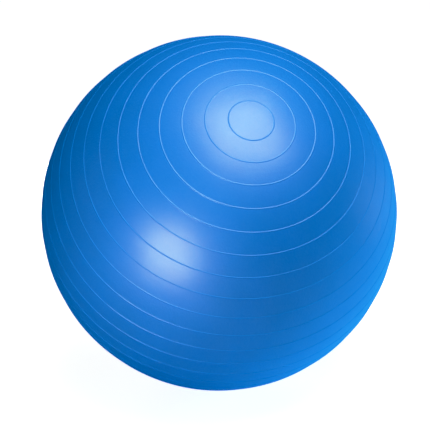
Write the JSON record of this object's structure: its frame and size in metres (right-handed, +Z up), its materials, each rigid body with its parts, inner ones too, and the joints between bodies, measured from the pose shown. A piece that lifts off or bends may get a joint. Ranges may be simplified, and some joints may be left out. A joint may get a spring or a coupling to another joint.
{
  "type": "exercise ball",
  "caption": "Large hollow vinyl ball for exercise and physiotherapy, with raised rings round a tilted axis, a bonded valve seat and a pull-out plug.",
  "frame": {"origin": "centre of the ball, which is the centre of its box", "axes": "+Z up as the ball stands, -Y the front; the ring axis lies in the YZ plane, 45 degrees from upright, with its plain pole up and to the front and its valve pole down and to the back"},
  "size_m": [0.651, 0.651, 0.651],
  "materials": {
    "vinyl_skin": "satin",
    "vinyl_seat": "satin",
    "plug_white": "satin"
  },
  "bodies": {
    "ball": {"skin": "vinyl_skin", "valve_seat": "vinyl_seat"},
    "plug": {"plug": "plug_white"}
  },
  "joints": [
    {"name": "plug_pull", "type": "slide", "parent": "ball", "child": "plug", "axis": [0, 0.7071, -0.7071], "range_m": [0, 0.04]}
  ]
}
